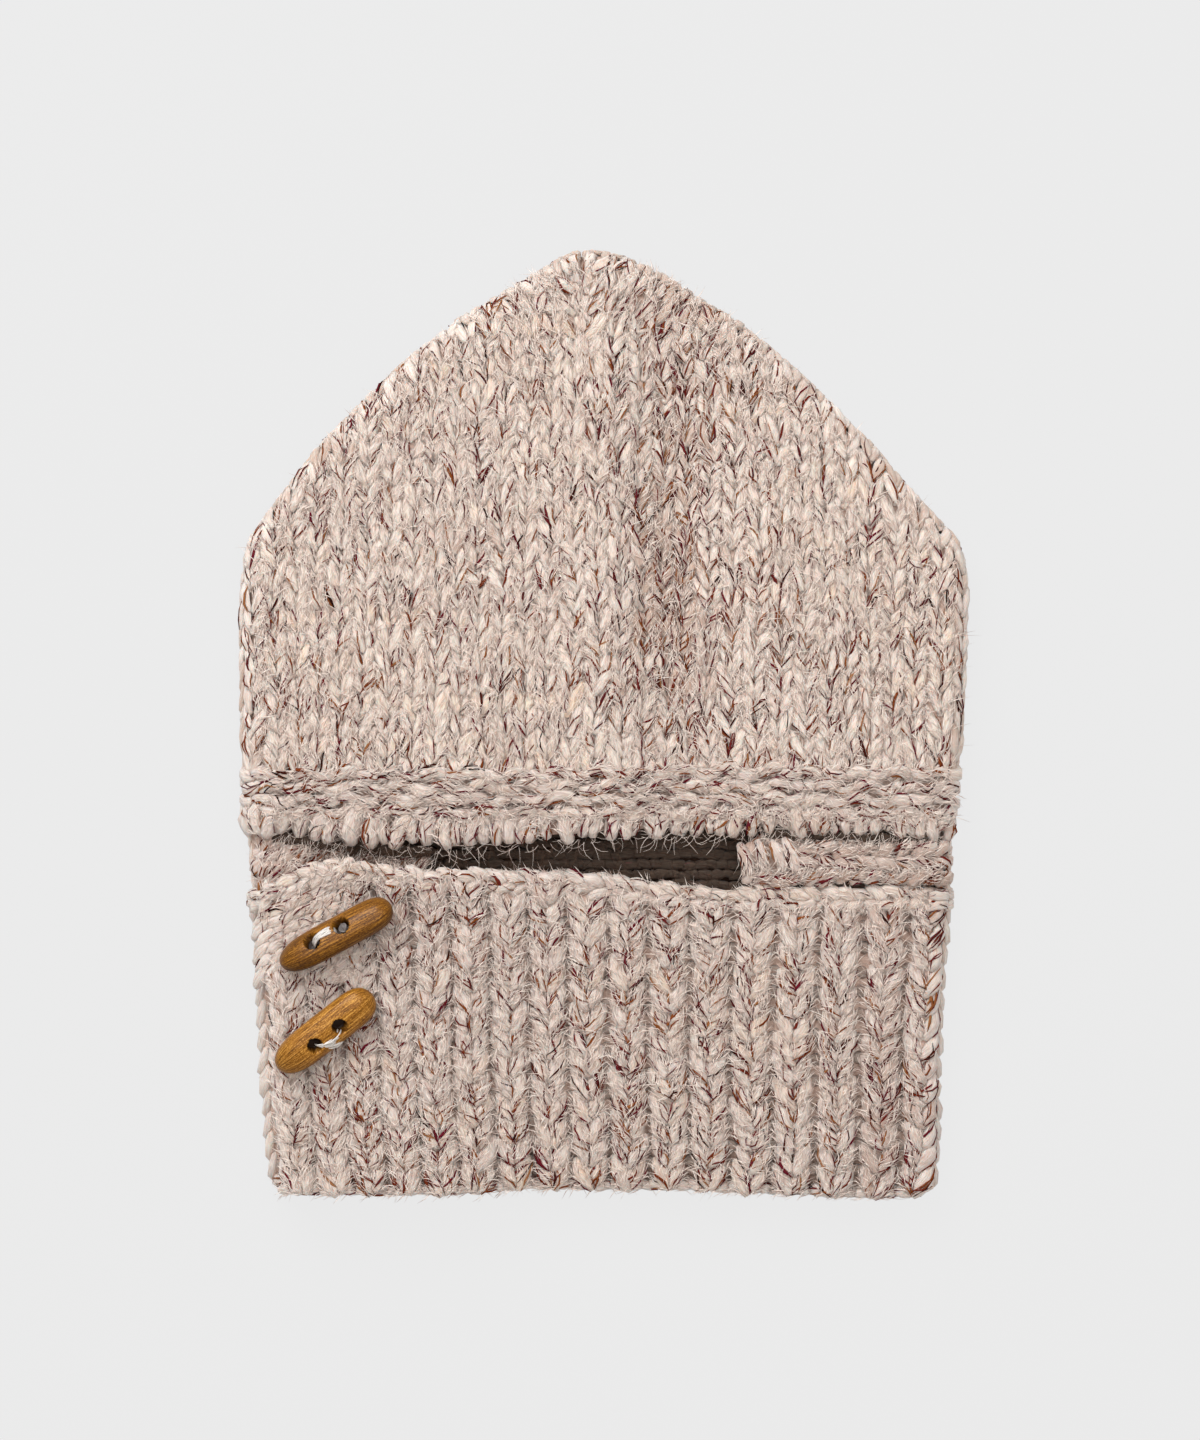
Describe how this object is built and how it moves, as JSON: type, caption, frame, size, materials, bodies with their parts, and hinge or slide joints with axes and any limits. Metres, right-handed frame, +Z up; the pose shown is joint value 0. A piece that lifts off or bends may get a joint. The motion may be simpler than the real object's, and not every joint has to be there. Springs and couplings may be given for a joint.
{
  "type": "knit balaclava",
  "caption": "Chunky knitted balaclava laid flat: peaked hood, purl band round a slit face opening, ribbed neck collar with an overlapping flap and wooden toggles.",
  "frame": {"origin": "on the floor under the middle of the outline, the balaclava lying on its back with the face side up", "axes": "+Z up out of the floor, +Y from the collar's hem to the peak of the hood, +X to the right of someone who looks down at the face side"},
  "size_m": [0.2558, 0.3318, 0.0423],
  "materials": {
    "hood": "fuzzy marled wool stocking stitch",
    "face_band": "fuzzy marled wool, purl ridges",
    "neck_collar": "fuzzy marled wool rib",
    "toggle_upper": "satin varnish",
    "toggle_thread_upper": "fuzzy sewing yarn",
    "toggle_lower": "satin varnish",
    "toggle_thread_lower": "fuzzy sewing yarn"
  },
  "bodies": {
    "root": {"hood": "hood", "face_band": "face_band", "neck_collar": "neck_collar", "toggle_upper": "toggle_upper", "toggle_thread_upper": "toggle_thread_upper", "toggle_lower": "toggle_lower", "toggle_thread_lower": "toggle_thread_lower"}
  },
  "joints": []
}
